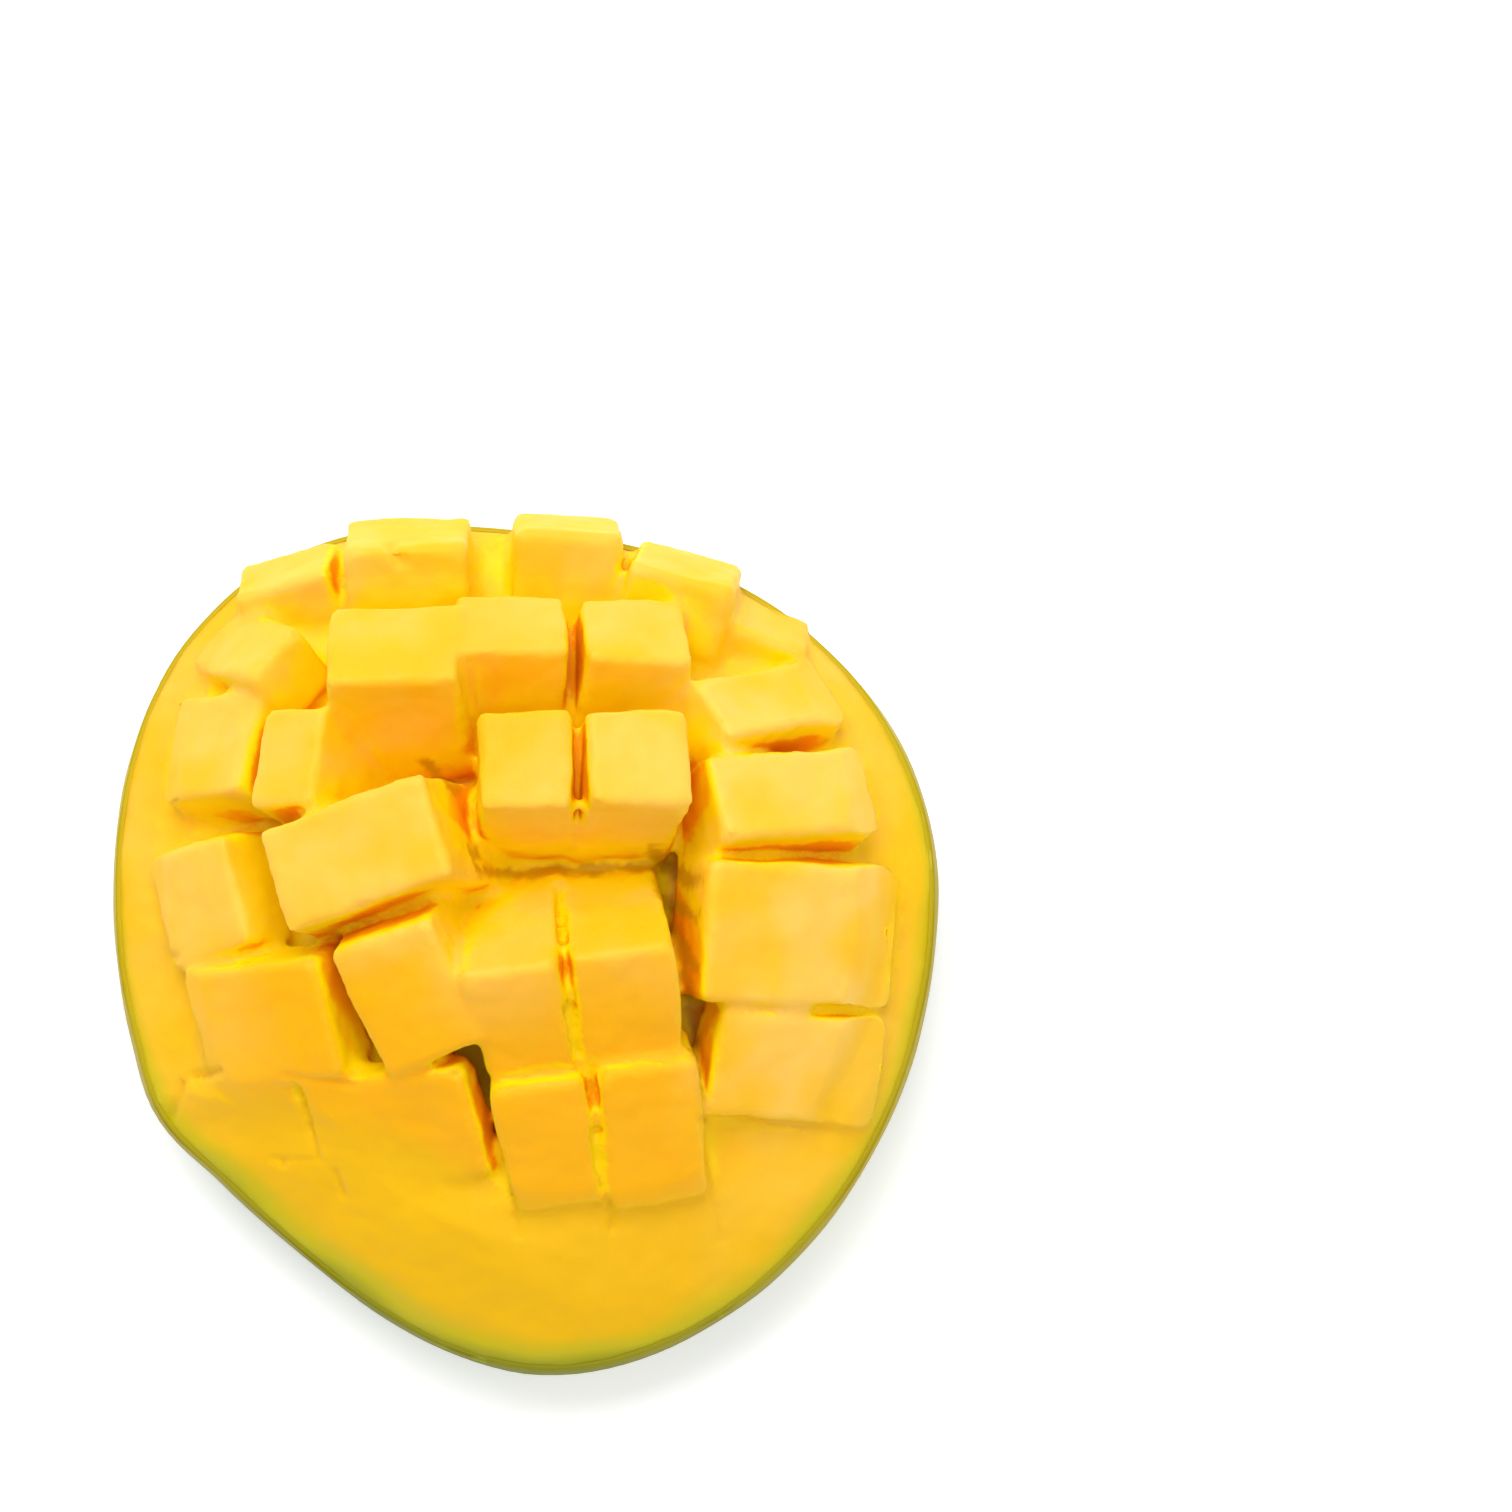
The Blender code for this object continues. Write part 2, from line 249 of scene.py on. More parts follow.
class Shader:
    """A material under construction, with short names for the nodes that it needs."""

    def __init__(self, name: str) -> None:
        """Starts a material with its principled shader and its Object coordinates."""
        self.material = bpy.data.materials.new(name)
        self.material.use_nodes = True
        self.tree = self.material.node_tree
        self.principled = self.tree.nodes["Principled BSDF"]
        self.coordinates = self.tree.nodes.new("ShaderNodeTexCoord").outputs["Object"]

    def join(self, source: object, target: bpy.types.NodeSocket) -> None:
        """Links a socket, or sets a plain value, on a target socket."""
        if isinstance(source, bpy.types.NodeSocket):
            self.tree.links.new(source, target)
        else:
            target.default_value = (*source, 1.0) if target.type == "RGBA" else source

    def set(self, **values: object) -> None:
        """Sets the principled shader's sockets by name, with _ for each space."""
        for name, value in values.items():
            self.join(value, self.principled.inputs[name.replace("_", " ")])

    def attribute(self, mark: Mark) -> bpy.types.NodeSocket:
        """The value of a mesh attribute."""
        node = self.tree.nodes.new("ShaderNodeAttribute")
        node.attribute_name = mark.value
        return node.outputs["Fac"]

    def noise(
        self, scale: float, detail: float = 3.0, stretch: tuple[float, float, float] = (1.0, 1.0, 1.0)
    ) -> bpy.types.NodeSocket:
        """Noise over the piece.

        Args:
            scale: how many times its pattern repeats in a metre.
            detail: how many finer layers it has.
            stretch: how much its scale is multiplied along each axis.

        Returns:
            The noise's value socket.
        """
        mapping = self.tree.nodes.new("ShaderNodeMapping")
        mapping.inputs["Scale"].default_value = stretch
        self.join(self.coordinates, mapping.inputs["Vector"])
        node = self.tree.nodes.new("ShaderNodeTexNoise")
        self.join(mapping.outputs["Vector"], node.inputs["Vector"])
        node.inputs["Scale"].default_value = scale
        node.inputs["Detail"].default_value = detail
        return node.outputs["Fac"]

    def cells(self, scale: float) -> bpy.types.NodeSocket:
        """Distance to the nearest of many scattered points."""
        node = self.tree.nodes.new("ShaderNodeTexVoronoi")
        self.join(self.coordinates, node.inputs["Vector"])
        node.inputs["Scale"].default_value = scale
        return node.outputs["Distance"]

    def span(
        self, value: bpy.types.NodeSocket, low: float, high: float, to_low: float = 0.0, to_high: float = 1.0
    ) -> bpy.types.NodeSocket:
        """Maps a value from one range to another, smoothly and clamped.

        Args:
            value: the socket to map.
            low: the value that becomes to_low.
            high: the value that becomes to_high.
            to_low: the result at low.
            to_high: the result at high.

        Returns:
            The mapped socket.
        """
        node = self.tree.nodes.new("ShaderNodeMapRange")
        node.interpolation_type = "SMOOTHSTEP"
        self.join(value, node.inputs["Value"])
        for name, number in (("From Min", low), ("From Max", high), ("To Min", to_low), ("To Max", to_high)):
            node.inputs[name].default_value = number
        return node.outputs["Result"]

    def mix(self, amount: object, first: object, second: object) -> bpy.types.NodeSocket:
        """A colour between two, by an amount from 0 to 1."""
        node = self.tree.nodes.new("ShaderNodeMix")
        node.data_type = "RGBA"
        self.join(amount, node.inputs[0])
        self.join(first, node.inputs[6])
        self.join(second, node.inputs[7])
        return node.outputs[2]

    def math(self, operation: str, first: object, second: object) -> bpy.types.NodeSocket:
        """A sum, product or other operation on two values."""
        node = self.tree.nodes.new("ShaderNodeMath")
        node.operation = operation
        self.join(first, node.inputs[0])
        self.join(second, node.inputs[1])
        return node.outputs["Value"]

    def relief(self, height: bpy.types.NodeSocket, depth: float, strength: float) -> None:
        """Adds fine relief that the mesh is too coarse for.

        Args:
            height: the relief's height socket, from 0 to 1.
            depth: how deep it is in metres.
            strength: how strongly it shows.
        """
        bump = self.tree.nodes.new("ShaderNodeBump")
        bump.inputs["Strength"].default_value = strength
        bump.inputs["Distance"].default_value = depth
        self.join(height, bump.inputs["Height"])
        self.join(bump.outputs["Normal"], self.principled.inputs["Normal"])


@dataclass(frozen=True)
class FleshFinish:
    """Ripe mango flesh: pale where it was cut, orange in the gaps and red-brown in narrow cuts from painted
    shade, paler on its edges from painted light, greener beside the peel, moist.
    """

    pale: Colour = (0.97, 0.59, 0.115)
    golden: Colour = (0.96, 0.52, 0.016)
    # painted light along the cubes' convex edges
    painted_edge_light: Colour = (0.97, 0.62, 0.10)
    ripe: Colour = (0.97, 0.45, 0.001)
    flank: Colour = (0.88, 0.50, 0.004)
    # painted shade: wall, gap and cut darken the flesh to orange and red-brown the more enclosed it is; wall
    # is partly also the deeper flesh's own orange
    wall: Colour = (0.97, 0.68, 0.0006)
    gap: Colour = (0.93, 0.36, 0.0004)
    cut: Colour = (0.76, 0.25, 0.0003)
    lime: Colour = (0.60, 0.50, 0.008)
    under_peel: Colour = (0.36, 0.34, 0.005)
    olive: Colour = (0.60, 0.31, 0.001)

    def material(self) -> bpy.types.Material:
        """Builds the material."""
        s = Shader("mango_flesh_moist")
        colour = s.mix(s.span(s.noise(75.0, 2.0), 0.38, 0.66), self.pale, self.golden)
        fine = s.span(s.noise(330.0, 3.0), 0.35, 0.7)
        colour = s.mix(s.math("MULTIPLY", fine, 0.25), colour, self.golden)
        # painted light: the convex edges turn paler, standing in for light shining through the thin flesh
        # there
        colour = s.mix(s.math("MULTIPLY", s.attribute(Mark.THIN), 0.4), colour, self.painted_edge_light)
        # deeper yellow towards the narrow end and the middle, less at the right
        colour = s.mix(s.attribute(Mark.DEEP_YELLOW), colour, self.ripe)
        colour = s.mix(s.attribute(Mark.UNCUT), colour, self.flank)
        # painted shade: the more enclosed the flesh, the more it turns orange, then deep orange, then
        # red-brown in narrow cuts
        depth = s.attribute(Mark.DEPTH)
        colour = s.mix(s.span(depth, 0.0, 0.55), colour, self.wall)
        colour = s.mix(s.span(depth, 0.6, 1.05), colour, self.gap)
        colour = s.mix(s.span(depth, 0.95, 1.35), colour, self.cut)
        rim = s.attribute(Mark.RIM)
        colour = s.mix(s.span(rim, 0.0, 0.75), colour, self.lime)
        colour = s.mix(s.span(rim, 0.6, 1.0), colour, self.under_peel)
        colour = s.mix(s.attribute(Mark.RESIDUE), colour, self.olive)
        s.set(Base_Color=colour, Roughness=s.span(s.noise(260.0), 0.3, 0.7, 0.42, 0.58))
        s.set(Subsurface_Weight=0.35, Subsurface_Radius=(1.0, 0.45, 0.12), Subsurface_Scale=0.0035)
        s.set(Coat_Weight=0.05, Coat_Roughness=0.3, Specular_IOR_Level=0.12)
        s.relief(s.noise(520.0, 4.0, (1.0, 1.0, 0.35)), 0.00022, 0.45)
        return s.material


@dataclass(frozen=True)
class PeelFinish:
    """Waxy green peel with pale pores, yellower along its cut edge."""

    green: Colour = (0.10, 0.165, 0.014)
    deep_green: Colour = (0.05, 0.095, 0.010)
    yellow_green: Colour = (0.30, 0.31, 0.02)
    upper: Colour = (0.22, 0.23, 0.004)
    edge: Colour = (0.58, 0.42, 0.004)
    pore: Colour = (0.42, 0.44, 0.13)

    def material(self) -> bpy.types.Material:
        """Builds the material."""
        s = Shader("mango_peel_waxy")
        colour = s.mix(s.span(s.noise(28.0, 3.0), 0.38, 0.64), self.green, self.deep_green)
        colour = s.mix(s.span(s.noise(18.0, 2.0), 0.5, 0.72), colour, self.yellow_green)
        pores = s.span(s.cells(420.0), 0.10, 0.19, 1.0, 0.0)
        kept = s.span(s.noise(110.0, 2.0), 0.42, 0.58)
        colour = s.mix(s.math("MULTIPLY", pores, kept), colour, self.pore)
        rim = s.attribute(Mark.RIM)
        colour = s.mix(s.span(rim, 0.0, 0.6), colour, self.upper)
        colour = s.mix(s.span(rim, 0.5, 1.0), colour, self.edge)
        s.set(Base_Color=colour, Roughness=s.span(s.noise(160.0), 0.3, 0.7, 0.36, 0.5))
        s.set(Coat_Weight=0.03, Coat_Roughness=0.3, Specular_IOR_Level=0.15)
        s.relief(s.noise(900.0, 3.0), 0.00012, 0.4)
        return s.material


@dataclass(frozen=True)
class FloorFinish:
    """Plain matt white floor, lit softly from within as a light table is."""

    colour: Colour = (0.95, 0.95, 0.95)
    glow: float = 0.28

    def material(self) -> bpy.types.Material:
        """Builds the material."""
        s = Shader("floor_white")
        s.set(Base_Color=self.colour, Roughness=0.7, Emission_Color=self.colour, Emission_Strength=self.glow)
        return s.material


@dataclass(frozen=True)
class Lamp:
    """A square soft light: its name, its place and side in metres, its power in watts and its colour."""

    name: str
    at: tuple[float, float, float]
    side: float
    power: float
    colour: Colour

    def build(self, aim: Vector) -> None:
        """Adds the light, turned to face a point."""
        data = bpy.data.lights.new(self.name, "AREA")
        data.size, data.energy, data.color = self.side, self.power, self.colour
        lamp = bpy.data.objects.new(self.name, data)
        lamp.location = self.at
        lamp.rotation_euler = (aim - Vector(self.at)).to_track_quat("-Z", "Y").to_euler()
        bpy.context.scene.collection.objects.link(lamp)


@dataclass
class Studio:
    """The floor, the soft lights and the camera at the photograph's viewing angle.

    The camera's tilt off straight above is in degrees, and its distance and aim in metres. The frame
    has frame_side pixels a side, and the part's middle lies at the centre column and row.
    """

    tilt_deg: float = 5.0
    distance: float = 0.6
    pixels_per_metre: float = 8640.0
    frame_side: float = 1512.0
    aim_height: float = 0.020
    centre_column: float = 523.0
    centre_row: float = 938.0
    floor_reach: float = 2.0
    sky_strength: float = 0.45
    lamps: tuple[Lamp, ...] = (
        Lamp("key_behind", (-0.12, 0.50, 0.70), 0.7, 6.8, (1.0, 0.99, 0.97)),
        Lamp("fill_front", (0.25, -0.35, 0.8), 0.8, 2.6, (1.0, 1.0, 1.0)),
    )

    def camera(self) -> None:
        """Places the camera: from the narrow end's side, a little off straight above."""
        tilt = math.radians(self.tilt_deg)
        back = Vector((0, -math.sin(tilt), math.cos(tilt)))
        up = Vector((0, math.cos(tilt), math.sin(tilt)))
        right = Vector((1, 0, 0))
        middle = self.frame_side / 2
        aim = Vector((0, 0, self.aim_height))
        aim += right * ((middle - self.centre_column) / self.pixels_per_metre)
        aim += up * ((self.centre_row - middle) / self.pixels_per_metre)
        data = bpy.data.cameras.new("camera")
        data.sensor_width = 36.0
        data.lens = self.pixels_per_metre * self.distance * data.sensor_width / self.frame_side
        data.clip_start = 0.01
        camera = bpy.data.objects.new("camera", data)
        place = Matrix((right, up, back)).transposed().to_4x4()
        place.translation = aim + back * self.distance
        camera.matrix_world = place
        bpy.context.scene.collection.objects.link(camera)
        bpy.context.scene.camera = camera

    def floor(self) -> None:
        """Lays the floor."""
        mesh = bpy.data.meshes.new("floor")
        shape = bmesh.new()
        bmesh.ops.create_grid(shape, x_segments=1, y_segments=1, size=self.floor_reach)
        shape.to_mesh(mesh)
        shape.free()
        mesh.materials.append(FloorFinish().material())
        floor = bpy.data.objects.new("floor", mesh)
        bpy.context.scene.collection.objects.link(floor)

    def sky(self) -> None:
        """Lights the scene evenly from all sides, and shows colours as they are."""
        world = bpy.data.worlds.new("studio")
        world.use_nodes = True
        background = world.node_tree.nodes["Background"]
        background.inputs["Color"].default_value = (1.0, 1.0, 1.0, 1.0)
        background.inputs["Strength"].default_value = self.sky_strength
        bpy.context.scene.world = world
        bpy.context.scene.view_settings.view_transform = "Standard"

    def build(self) -> None:
        """Sets the whole studio up."""
        self.floor()
        for lamp in self.lamps:
            lamp.build(Vector((0, 0, self.aim_height)))
        self.sky()
        self.camera()


@dataclass(frozen=True)
class DeepYellowMap:
    """How deep a yellow the cut faces have: most towards the narrow end, least at the right.

    Places are in millimetres. Each pair says where a rise starts and where it is full, and the
    shares are those of the deepest yellow.
    """

    low_rise: tuple[float, float] = (5.0, -12.0)
    low_slant: float = 0.15
    low_share: float = 0.95
    off_right: tuple[float, float] = (28.0, 17.0)
    off_left: tuple[float, float] = (-44.0, -26.0)
    left_share: float = 0.45
    middle: tuple[float, float] = (-3.0, 27.0)
    middle_reach: tuple[float, float] = (17.0, 14.0)
    middle_share: float = 0.8
    least: float = 0.12
    least_rise: tuple[float, float] = (26.0, 12.0)
    least_more: float = 0.24
    waver: float = 6.0
    waver_pattern: float = 60.0

    def at(self, point: Vector) -> float:
        """The ripeness, from 0 to 1, at a point in metres."""
        x, y = point.x / MM, point.y / MM
        waver = self.waver * noise.noise(point * self.waver_pattern)
        low = smooth_step(*self.low_rise, y + self.low_slant * x + waver)
        low *= smooth_step(*self.off_right, x + waver)
        low *= self.left_share + (1 - self.left_share) * smooth_step(*self.off_left, x + waver)
        across = (x - self.middle[0]) / self.middle_reach[0]
        along = (y - self.middle[1] + waver) / self.middle_reach[1]
        middle = math.exp(-(across**2) - along**2)
        least = self.least + self.least_more * smooth_step(*self.least_rise, x + waver)
        return max(self.low_share * low, self.middle_share * middle, least)


@dataclass
class MangoBody:
    """The half's shape, remeshed finely from the solid, worked over, and marked for its finish.

    Sizes are in millimetres, and a pattern's scale is in repeats a metre. The remesh has faces of one
    voxel, of which the peel hides all that lie more than kept_fine below its edge, so they are made
    fewer until the triangles are within their limit. The strokes say where, seen from above, the outer
    ends of the cubes fade into the flank, cracks and nicks open, and residue lies.
    """

    outline: Outline = field(default_factory=Outline)
    deep_yellow_map: DeepYellowMap = field(default_factory=DeepYellowMap)
    voxel: float = 0.56
    triangles: int = 190_000
    kept_fine: float = 2.5
    melting: int = 9
    melt_from: float = 6.0
    rim_kept: float = 2.4
    headroom: float = 2.4
    headroom_gap: float = 5.5
    back_proud: float = 12.0
    back_sine: tuple[float, float] = (0.62, 0.8)
    crease: float = -0.16
    crease_from: float = 12.0
    crease_rounds: int = 16
    wave: float = 0.42
    wave_pattern: float = 140.0
    ripple: float = 0.13
    ripple_pattern: float = 480.0
    tear: float = 1.15
    tear_pattern: float = 420.0
    residue_below: float = 33.0
    # painted shade: the rays that measure how enclosed each point is, and how strongly that darkens it
    shade_reach: float = 9.0
    shade_rays: int = 8
    shade_leans: tuple[float, float] = (0.95, 0.45)
    shade_gain: float = 1.45
    wall_gain: float = 0.2
    fading: tuple[Stroke, ...] = (
        Stroke(37.0, 32.0, 38.6, 25.0, 1.5),
        Stroke(41.8, 22.0, 42.6, 12.5, 1.5),
        Stroke(44.4, 7.4, 43.6, -7.5, 1.5),
        Stroke(42.8, -10.0, 35.5, -20.5, 1.5),
        Stroke(-31.5, 37.6, -38.5, 31.0, 1.6),
        Stroke(-42.0, 27.5, -43.0, 16.0, 1.6),
        Stroke(-43.6, 7.5, -41.6, -3.0, 1.8),
        Stroke(-40.5, -4.5, -36.0, -16.5, 1.8),
        Stroke(-38.5, -20.0, -24.0, -25.5, 2.4),
        Stroke(-23.0, -26.5, -4.0, -29.0, 2.4),
        Stroke(-1.5, -31.8, 21.5, -31.0, 2.4),
        Stroke(-31.2, 26.0, -32.6, 14.5, 1.4),
    )
    cracks: tuple[Stroke, ...] = (
        Stroke(-27.0, -15.9, -18.9, -17.3, 0.7, 0.35),
        Stroke(-25.5, -17.7, -23.3, -25.3, 0.6, 0.4),
        Stroke(-21.4, -27.0, -20.6, -29.8, 0.7, 0.4),
        Stroke(-29.2, -25.4, -23.3, -25.5, 0.5, 0.25),
        Stroke(-39.7, -16.7, -41.2, -20.6, 0.8, 0.5),
        Stroke(20.8, -21.1, 21.9, -27.9, 0.7, 0.35),
        Stroke(21.9, -27.9, 23.0, -34.7, 0.7, 0.3),
        Stroke(9.6, -27.5, 10.4, -33.6, 0.7, 0.7),
        Stroke(4.5, 5.2, 5.2, -1.0, 0.9, 1.4),
        Stroke(6.0, -8.5, 6.9, -14.0, 0.9, 1.4),
        Stroke(8.7, -22.5, 9.6, -29.5, 0.8, 1.1),
        Stroke(-2.1, -26.2, -0.1, -34.2, 0.7, 0.5),
    )
    nicks: tuple[Stroke, ...] = (
        Stroke(-15.2, 44.8, -14.0, 43.2, 1.2, 0.8),
        Stroke(-38.1, -16.0, -35.0, -15.5, 0.9, 0.7),
        Stroke(-27.7, -25.7, -27.7, -25.9, 0.6, 0.5),
        Stroke(-40.4, -2.2, -39.8, -2.2, 0.9, 0.5),
    )
    residue: tuple[Stroke, ...] = (
        Stroke(-11.2, 20.0, -7.25, 16.3, 0.8),
        Stroke(-8.3, 15.2, -8.3, 13.8, 0.7),
        Stroke(-9.0, 12.3, -7.8, 11.0, 0.9),
        Stroke(-7.0, 10.8, -5.1, 8.6, 0.7),
        Stroke(-10.2, 7.0, 15.0, 8.0, 0.8),
        Stroke(15.3, 9.1, 19.8, 5.9, 1.2),
        Stroke(15.9, 4.6, 19.8, 2.2, 0.9),
        Stroke(17.2, 0.9, 19.9, -3.7, 0.9),
        Stroke(18.9, -4.7, 19.8, -11.3, 0.7),
        Stroke(20.0, -12.0, 20.6, -20.5, 0.7),
    )

    @staticmethod
    def evaluated(work: bpy.types.Object) -> bmesh.types.BMesh:
        """The shape of an object with its modifiers, after which the object is removed."""
        bpy.context.view_layer.update()
        finished = work.evaluated_get(bpy.context.evaluated_depsgraph_get())
        shape = bmesh.new()
        shape.from_mesh(finished.to_mesh())
        finished.to_mesh_clear()
        mesh = work.data
        bpy.data.objects.remove(work)
        bpy.data.meshes.remove(mesh)
        return shape

    @staticmethod
    def bench(shape: bmesh.types.BMesh) -> bpy.types.Object:
        """Puts a shape in an object to be worked on, and frees the shape."""
        mesh = bpy.data.meshes.new("work")
        shape.to_mesh(mesh)
        shape.free()
        work = bpy.data.objects.new("work", mesh)
        bpy.context.scene.collection.objects.link(work)
        return work

    def remeshed(self) -> bmesh.types.BMesh:
        """A copy of the solid in small even faces, eased, with fewer faces where the peel covers it.

        Returns:
            The new shape, owned by the caller.
        """
        shape = bmesh.new()
        shape.from_mesh(bpy.data.objects[NODE].data)
        bmesh.ops.remove_doubles(shape, verts=shape.verts, dist=1e-6)
        work = self.bench(shape)
        remesh = work.modifiers.new("remesh", "REMESH")
        remesh.mode, remesh.voxel_size = "VOXEL", self.voxel * MM
        ease = work.modifiers.new("ease", "SMOOTH")
        ease.factor, ease.iterations = 0.5, 2
        shape = self.evaluated(work)
        weights = shape.verts.layers.deform.new()
        for vert in shape.verts:
            self.pull_under(vert)
            vert[weights][0] = self.covered(vert.co, self.kept_fine)
        ratio = self.triangles / (2 * len(shape.faces))
        work = self.bench(shape)
        work.vertex_groups.new(name="covered")
        thin_out = work.modifiers.new("thin_out", "DECIMATE")
        thin_out.ratio, thin_out.vertex_group = min(1.0, ratio), "covered"
        shape = self.evaluated(work)
        shape.verts.layers.deform.remove(shape.verts.layers.deform.active)
        return shape

    def pull_under(self, vert: bmesh.types.BMVert) -> None:
        """Moves a point below the peel's edge inwards, so that no cube's root comes out through the peel."""
        share, bearing = self.outline.polar(vert.co)
        height = vert.co.z / MM
        down = self.outline.down(height, bearing)
        if down > self.outline.peel_edge(bearing):
            widest = self.outline.side(down, bearing)[0]
            if share > widest:
                vert.co = self.outline.place(bearing, widest, height)

    def covered(self, point: Vector, past: float = 0.0) -> float:
        """How far the flesh lies under the peel at a point of the surface.

        Args:
            point: the point in metres.
            past: how far past the peel's edge the covered part starts, in millimetres.

        Returns:
            0 in the open and 1 a millimetre or more past the start.
        """
        share, bearing = self.outline.polar(point)
        height = point.z / MM
        if share < self.outline.hollow_rim - 0.01:
            return 1.0 if height < self.outline.hollow_height(share) + 1.0 else 0.0
        down = self.outline.down(height, bearing)
        edge = self.outline.peel_edge(bearing)
        if down <= edge or share > self.outline.side(down, bearing)[0] + 0.012:
            return 0.0
        top = self.outline.side(edge, bearing)[1]
        return smooth_step(past, past + 1.0, top - height)

    def melt(self, shape: bmesh.types.BMesh) -> None:
        """Lets the outer ends of the cubes fade into the uncut flesh, as they do beside the rim."""
        for vert in shape.verts:
            vert.co.z = min(vert.co.z, self.ceiling(vert.co))
        for ring in (1.0, 0.8, 0.6):
            soft = []
            for vert in shape.verts:
                x, y = vert.co.x / MM, vert.co.y / MM
                share, bearing = self.outline.polar(vert.co)
                inside = (self.outline.flesh_edge - share) * self.outline.radius(bearing)
                if inside < self.rim_kept or vert.co.z < self.melt_from * MM:
                    continue
                if any(s.distance(x, y) < ring * s.wide for s in self.fading):
                    soft.append(vert)
            ease(shape, soft, self.melting)

    def ceiling(self, point: Vector) -> float:
        """The height in metres that the cubes keep under, so that their outer ends meet the flank."""
        share, bearing = self.outline.polar(point)
        share = min(1.0, share)
        flesh = self.outline.flesh_height(share, bearing)
        gap = max(0.0, self.outline.dome_height(share, bearing) - flesh)
        room = self.headroom * smooth_step(0.0, self.headroom_gap, gap)
        proud = self.back_proud * smooth_step(*self.back_sine, math.sin(bearing))
        return (flesh + gap + room + proud + 0.1) * MM

    def ease_creases(self, shape: bmesh.types.BMesh) -> None:
        """Evens out the ragged bottoms that the remesh leaves in narrow gaps."""
        creases = [
            vert
            for vert, bulge in zip(shape.verts, self.bulges(shape))
            if bulge < self.crease and vert.co.z > self.crease_from * MM
        ]
        ease(shape, creases, self.crease_rounds)

    @staticmethod
    def bulges(shape: bmesh.types.BMesh) -> list[float]:
        """How far each point stands out of its surroundings, in millimetres; less than 0 in a crease."""
        eased = shape.copy()
        ease(eased, eased.verts, BULGE_ROUNDS)
        return [(a.co - b.co).dot(a.normal) / MM for a, b in zip(shape.verts, eased.verts)]

    def work_over(self, shape: bmesh.types.BMesh, bulges: list[float]) -> None:
        """Gives the cut faces slight waves, tears their edges a little, and opens cracks and nicks.

        Args:
            shape: the body, changed in place.
            bulges: how far each point stands out, in millimetres.
        """
        moves = []
        for vert, bulge in zip(shape.verts, bulges):
            x, y = vert.co.x / MM, vert.co.y / MM
            share, bearing = self.outline.polar(vert.co)
            if self.covered(vert.co) > 0.5:
                moves.append(0.0)
                continue
            steady = smooth_step(0.0, 3.0, (self.outline.flesh_edge - share) * self.outline.radius(bearing))
            steady = max(steady, smooth_step(13.0, 16.0, vert.co.z / MM))
            wave = self.wave * noise.noise(vert.co * self.wave_pattern)
            wave += self.ripple * noise.noise(vert.co * self.ripple_pattern + Vector((7, 3, 1)))
            ragged = max(0.0, noise.noise(vert.co * self.tear_pattern + Vector((2, 9, 5))))
            torn = self.tear * (smooth_step(0.15, 0.5, bulge) * ragged)
            sunk = 0.0
            if vert.normal.z > 0.3:
                for stroke in (*self.cracks, *self.nicks):
                    sunk = max(sunk, stroke.deep * (1 - smooth_step(0.0, stroke.wide, stroke.distance(x, y))))
            moves.append(wave * (0.2 + 0.8 * steady) - torn - sunk)
        for vert, move in zip(shape.verts, moves):
            vert.co += vert.normal * move * MM

    def crumbs(self, vert: bmesh.types.BMVert) -> float:
        """How much of the olive residue a point carries, from 0 to 1."""
        x, y, z = vert.co / MM
        if z > self.residue_below or vert.normal.z < -0.2:
            return 0.0
        ragged = 0.6 * noise.noise(vert.co * 420) + 0.4 * noise.noise(vert.co * 1100)
        near = min(stroke.distance(x, y) - 0.75 * stroke.wide for stroke in self.residue)
        return 1 - smooth_step(-0.4, 0.4, near + 1.2 * ragged)

    def mark(self, shape: bmesh.types.BMesh, bulges: list[float]) -> None:
        """Writes the attributes that the flesh's finish reads.

        Args:
            shape: the body, worked over.
            bulges: how far each point stands out, in millimetres.
        """
        layers = {mark: shape.verts.layers.float.new(mark.value) for mark in Mark}
        shape.normal_update()
        tree = BVHTree.FromBMesh(shape)
        for vert, bulge in zip(shape.verts, bulges):
            share, bearing = self.outline.polar(vert.co)
            above = vert.co.z / MM - self.outline.flesh_height(min(1.0, share), bearing)
            inside = (self.outline.flesh_edge + 0.02 - share) * self.outline.radius(bearing)
            green = self.outline.greenness(bearing)
            waver = 1.3 * noise.noise(vert.co * 110)
            near_rim = 1 - smooth_step(0.0, 2.0 + 4.5 * green, inside + waver)
            vert[layers[Mark.RIM]] = near_rim * (1 - smooth_step(0.8, 2.5, above)) * (0.12 + 0.88 * green)
            vert[layers[Mark.UNCUT]] = (1 - smooth_step(0.3, 4.0, above)) * (0.3 + 0.7 * green)
            vert[layers[Mark.DEEP_YELLOW]] = self.deep_yellow_map.at(vert.co)
            # painted light: how much the edge here is paled, from how far it stands out
            vert[layers[Mark.THIN]] = smooth_step(0.1, 0.6, bulge + 0.15 * noise.noise(vert.co * 200))
            # painted shade: how enclosed the point is, kept as the depth attribute
            deep = self.depth(vert, above, tree)
            vert[layers[Mark.DEPTH]] = deep
            vert[layers[Mark.RESIDUE]] = self.crumbs(vert) * (0.2 + 0.65 * smooth_step(0.1, 0.4, deep))

